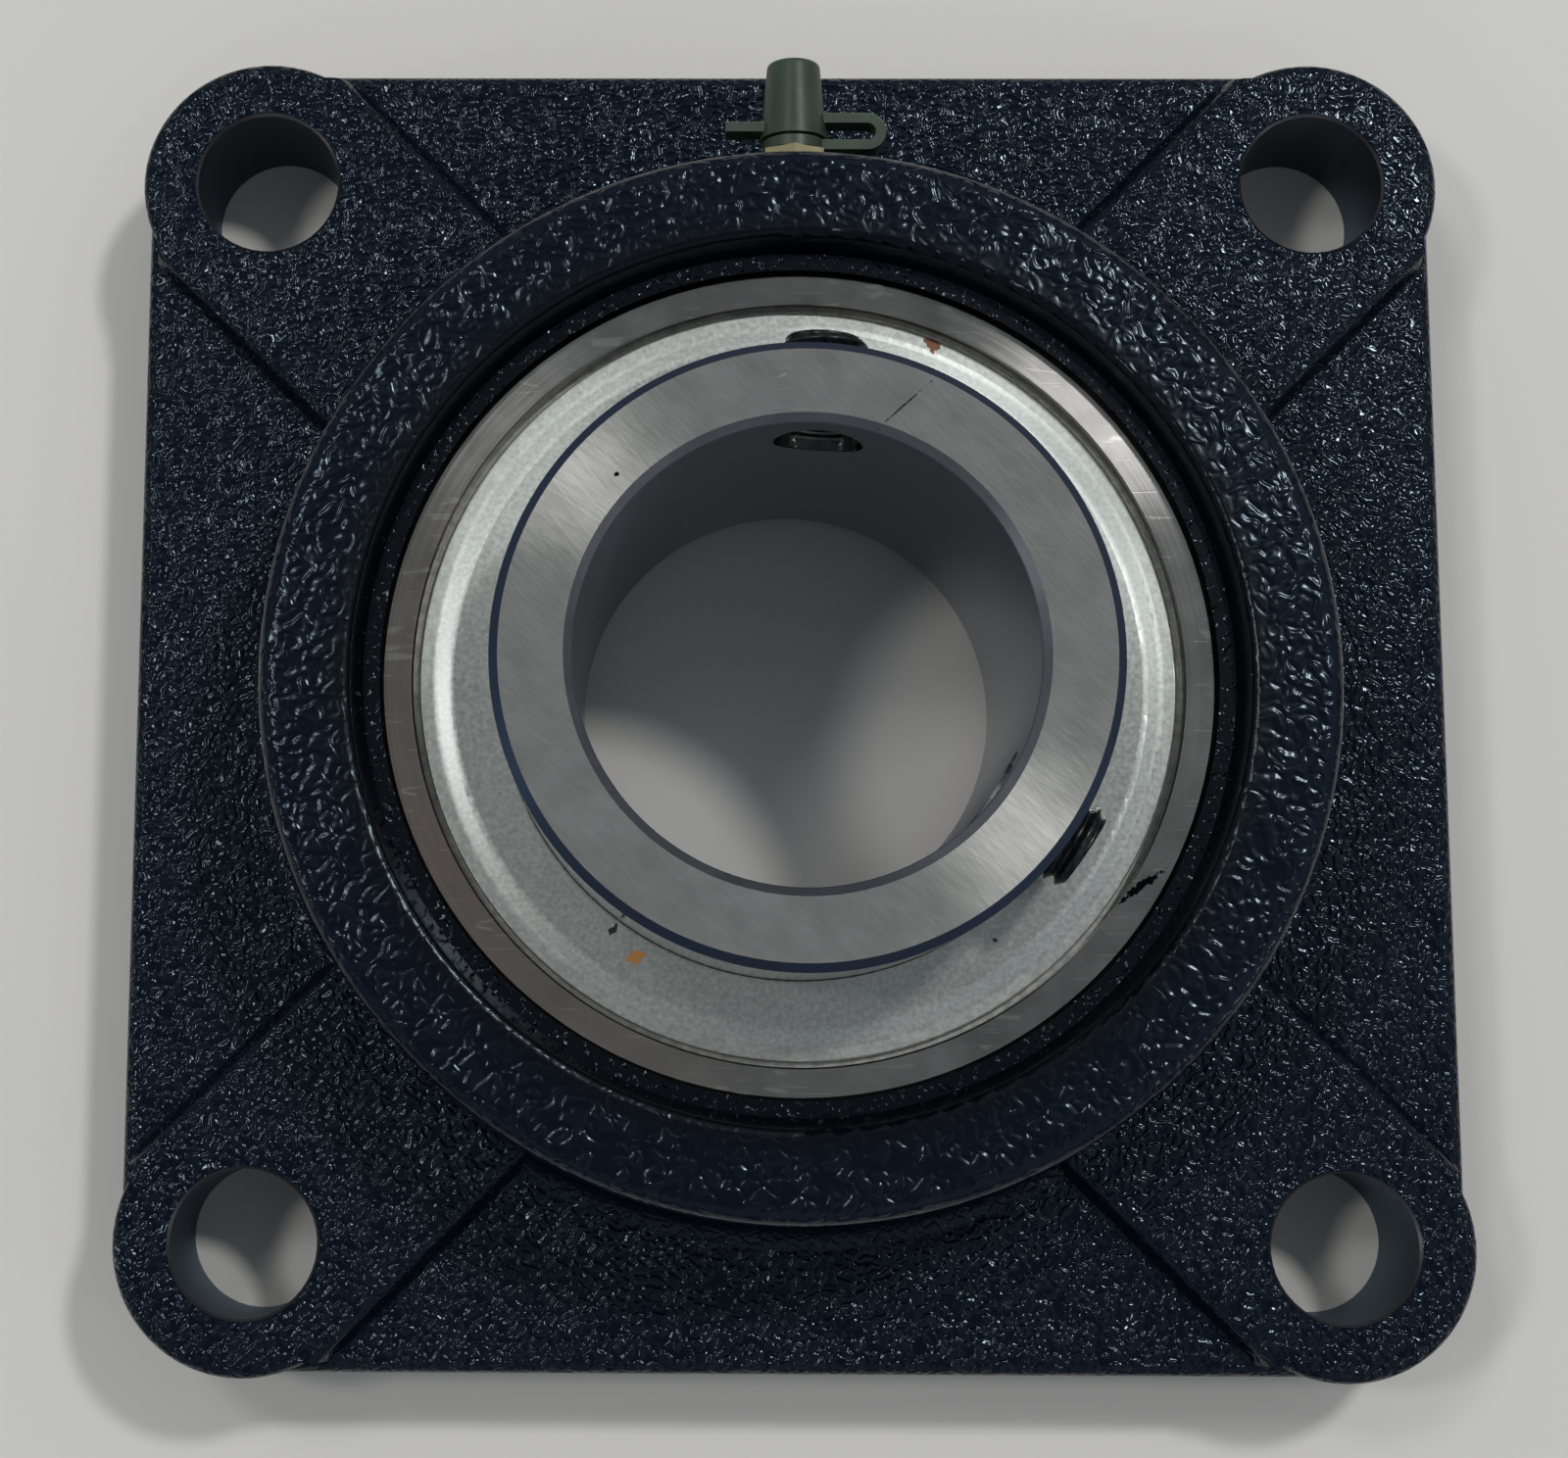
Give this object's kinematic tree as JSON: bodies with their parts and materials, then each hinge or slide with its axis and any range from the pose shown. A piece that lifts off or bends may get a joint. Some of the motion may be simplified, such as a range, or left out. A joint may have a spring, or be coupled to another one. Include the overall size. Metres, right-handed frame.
{
  "type": "four-bolt flange bearing unit",
  "caption": "Square flange bearing unit: painted cast iron housing with corner pads, and a swivelling ball bearing insert locked to its shaft by set screws, with a capped grease nipple",
  "frame": {"origin": "Centre of the bolt pattern, on the mounting face", "axes": "+Z runs along the shaft, out of the housing's front; +Y points to the grease nipple; +X completes a right-handed set"},
  "size_m": [0.162, 0.162, 0.0594],
  "materials": {
    "housing_paint": "glossy hammered enamel, near black with a blue cast, on cast iron",
    "outer_ring_steel": "ground bearing steel, dull and slightly stained",
    "inner_ring_steel": "ground bearing steel, bright",
    "ball_steel": "polished bearing steel",
    "cage_steel": "pressed steel sheet",
    "rivet_steel": "bright cold headed steel",
    "seal_case_steel": "pressed steel sheet",
    "seal_rubber": "black nitrile rubber",
    "slinger_zinc": "zinc plated steel sheet, satin",
    "screw_black": "black oxide on hardened steel",
    "nipple_zinc": "yellow passivated zinc on steel",
    "check_steel": "polished steel",
    "spring_steel": "drawn spring wire",
    "cap_plastic": "soft translucent green polyethylene"
  },
  "bodies": {
    "housing": {"housing": "housing_paint", "grease_nipple": "nipple_zinc", "check_spring": "spring_steel", "cap_strap": "cap_plastic"},
    "insert_outer": {"outer_ring": "outer_ring_steel", "seal_case_front": "seal_case_steel", "seal_case_rear": "seal_case_steel", "seal_lip_front": "seal_rubber", "seal_lip_rear": "seal_rubber"},
    "insert_inner": {"inner_ring": "inner_ring_steel", "slinger_front": "slinger_zinc", "slinger_rear": "slinger_zinc"},
    "cage": {"cage_front": "cage_steel", "cage_rear": "cage_steel", "cage_rivets": "rivet_steel"},
    "screw_1": {"set_screw_1": "screw_black"},
    "screw_2": {"set_screw_2": "screw_black"},
    "check_ball": {"check_ball": "check_steel"},
    "nipple_cap": {"nipple_cap": "cap_plastic"},
    "ball_01": {"ball_01": "ball_steel"},
    "ball_02": {"ball_02": "ball_steel"},
    "ball_03": {"ball_03": "ball_steel"},
    "ball_04": {"ball_04": "ball_steel"},
    "ball_05": {"ball_05": "ball_steel"},
    "ball_06": {"ball_06": "ball_steel"},
    "ball_07": {"ball_07": "ball_steel"},
    "ball_08": {"ball_08": "ball_steel"},
    "ball_09": {"ball_09": "ball_steel"},
    "ball_10": {"ball_10": "ball_steel"}
  },
  "joints": [
    {"name": "self_align", "type": "hinge", "parent": "housing", "child": "insert_outer", "pos_m": [0, 0, 0.026], "axis": [1, 0, 0], "range_deg": [-6, 6]},
    {"name": "ring_spin", "type": "hinge", "parent": "insert_outer", "child": "insert_inner", "pos_m": [0, 0, 0.026], "axis": [0, 0, 1], "continuous": true},
    {"name": "cage_orbit", "type": "hinge", "parent": "insert_outer", "child": "cage", "pos_m": [0, 0, 0.026], "axis": [0, 0, 1], "continuous": true},
    {"name": "screw_1_travel", "type": "slide", "parent": "insert_inner", "child": "screw_1", "axis": [0.0698, 0.9976, 0], "range_m": [-0.0017, 0.0074]},
    {"name": "screw_2_travel", "type": "slide", "parent": "insert_inner", "child": "screw_2", "axis": [0.829, -0.5592, 0], "range_m": [-0.0017, 0.0074]},
    {"name": "check_ball_lift", "type": "slide", "parent": "housing", "child": "check_ball", "axis": [0, 1, 0], "range_m": [-0.0008, 0], "stiffness_N_per_m": 200, "deforming": ["check_spring"]},
    {"name": "cap_pull", "type": "slide", "parent": "housing", "child": "nipple_cap", "axis": [0, 1, 0], "range_m": [0, 0.01], "deforming": ["cap_strap"]},
    {"name": "ball_01_spin", "type": "hinge", "parent": "cage", "child": "ball_01", "pos_m": [0.03685, 0.01197, 0.026], "axis": [0, 0, 1], "continuous": true},
    {"name": "ball_02_spin", "type": "hinge", "parent": "cage", "child": "ball_02", "pos_m": [0.02277, 0.03135, 0.026], "axis": [0, 0, 1], "continuous": true},
    {"name": "ball_03_spin", "type": "hinge", "parent": "cage", "child": "ball_03", "pos_m": [0, 0.03875, 0.026], "axis": [0, 0, 1], "continuous": true},
    {"name": "ball_04_spin", "type": "hinge", "parent": "cage", "child": "ball_04", "pos_m": [-0.02277, 0.03135, 0.026], "axis": [0, 0, 1], "continuous": true},
    {"name": "ball_05_spin", "type": "hinge", "parent": "cage", "child": "ball_05", "pos_m": [-0.03685, 0.01197, 0.026], "axis": [0, 0, 1], "continuous": true},
    {"name": "ball_06_spin", "type": "hinge", "parent": "cage", "child": "ball_06", "pos_m": [-0.03685, -0.01197, 0.026], "axis": [0, 0, 1], "continuous": true},
    {"name": "ball_07_spin", "type": "hinge", "parent": "cage", "child": "ball_07", "pos_m": [-0.02277, -0.03135, 0.026], "axis": [0, 0, 1], "continuous": true},
    {"name": "ball_08_spin", "type": "hinge", "parent": "cage", "child": "ball_08", "pos_m": [0, -0.03875, 0.026], "axis": [0, 0, 1], "continuous": true},
    {"name": "ball_09_spin", "type": "hinge", "parent": "cage", "child": "ball_09", "pos_m": [0.02277, -0.03135, 0.026], "axis": [0, 0, 1], "continuous": true},
    {"name": "ball_10_spin", "type": "hinge", "parent": "cage", "child": "ball_10", "pos_m": [0.03685, -0.01197, 0.026], "axis": [0, 0, 1], "continuous": true}
  ],
  "couplings": [
    {"joint": "cage_orbit", "follows": "ring_spin", "ratio": 0.4078},
    {"joint": "ball_01_spin", "follows": "ring_spin", "ratio": -2.6196},
    {"joint": "ball_02_spin", "follows": "ring_spin", "ratio": -2.6196},
    {"joint": "ball_03_spin", "follows": "ring_spin", "ratio": -2.6196},
    {"joint": "ball_04_spin", "follows": "ring_spin", "ratio": -2.6196},
    {"joint": "ball_05_spin", "follows": "ring_spin", "ratio": -2.6196},
    {"joint": "ball_06_spin", "follows": "ring_spin", "ratio": -2.6196},
    {"joint": "ball_07_spin", "follows": "ring_spin", "ratio": -2.6196},
    {"joint": "ball_08_spin", "follows": "ring_spin", "ratio": -2.6196},
    {"joint": "ball_09_spin", "follows": "ring_spin", "ratio": -2.6196},
    {"joint": "ball_10_spin", "follows": "ring_spin", "ratio": -2.6196}
  ]
}
